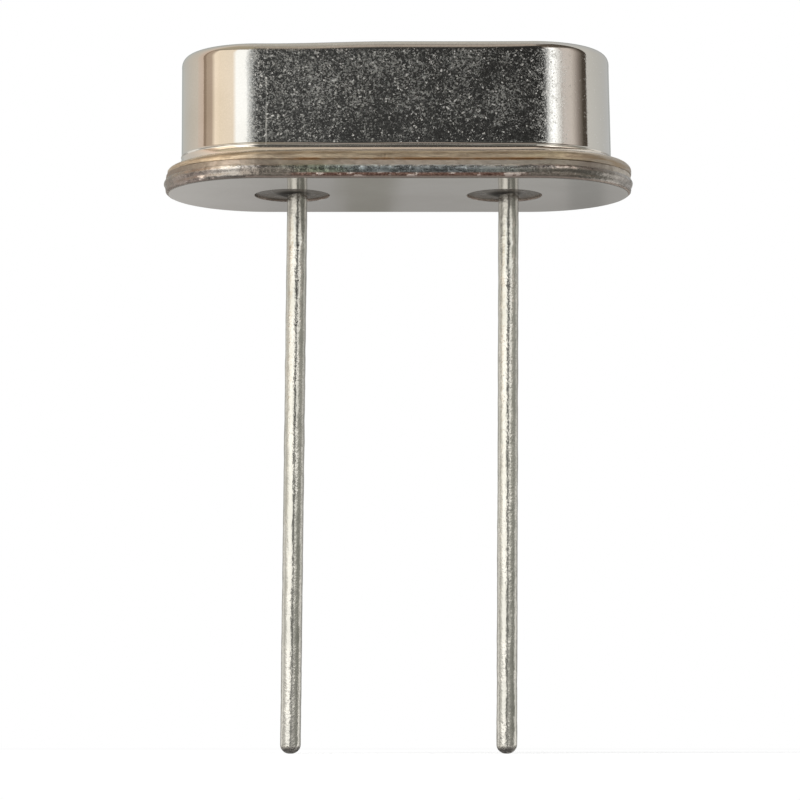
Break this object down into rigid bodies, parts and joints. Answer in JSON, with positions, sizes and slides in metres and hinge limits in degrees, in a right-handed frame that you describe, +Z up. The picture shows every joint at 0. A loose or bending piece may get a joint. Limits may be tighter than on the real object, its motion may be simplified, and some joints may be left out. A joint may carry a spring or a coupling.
{
  "type": "crystal oscillator",
  "caption": "Quartz crystal in a low, round-ended metal can on a flanged base, with straight round leads that pass through glass seals for soldering into a circuit board.",
  "frame": {"origin": "centre of the header's underside, which is the seating plane, half-way between the leads", "axes": "+X along the row of leads, +Z up through the cover, away from the leads"},
  "size_m": [0.0108, 0.0046, 0.016],
  "materials": {
    "cover_plating": "bright nickel plating over drawn sheet, with a fine grain, specks and small scratches",
    "header_plating": "nickel plating with a soft shine, stained brown along the welded rim",
    "seal_glass": "dark opaque fired glass, slightly dished",
    "lead_tin": "hot-dipped tin, shiny and slightly wavy",
    "clip_strip": "plain spring strip",
    "quartz": "clear, finely lapped",
    "silver_film": "evaporated silver, satin",
    "silver_adhesive": "silver-filled adhesive, matt"
  },
  "bodies": {
    "root": {"cover": "cover_plating", "header": "header_plating", "seal_left": "seal_glass", "seal_right": "seal_glass", "lead_left": "lead_tin", "lead_right": "lead_tin", "clip_left": "clip_strip", "clip_right": "clip_strip", "quartz_blank": "quartz", "electrode_front": "silver_film", "electrode_back": "silver_film", "adhesive_left": "silver_adhesive", "adhesive_right": "silver_adhesive"}
  },
  "joints": []
}
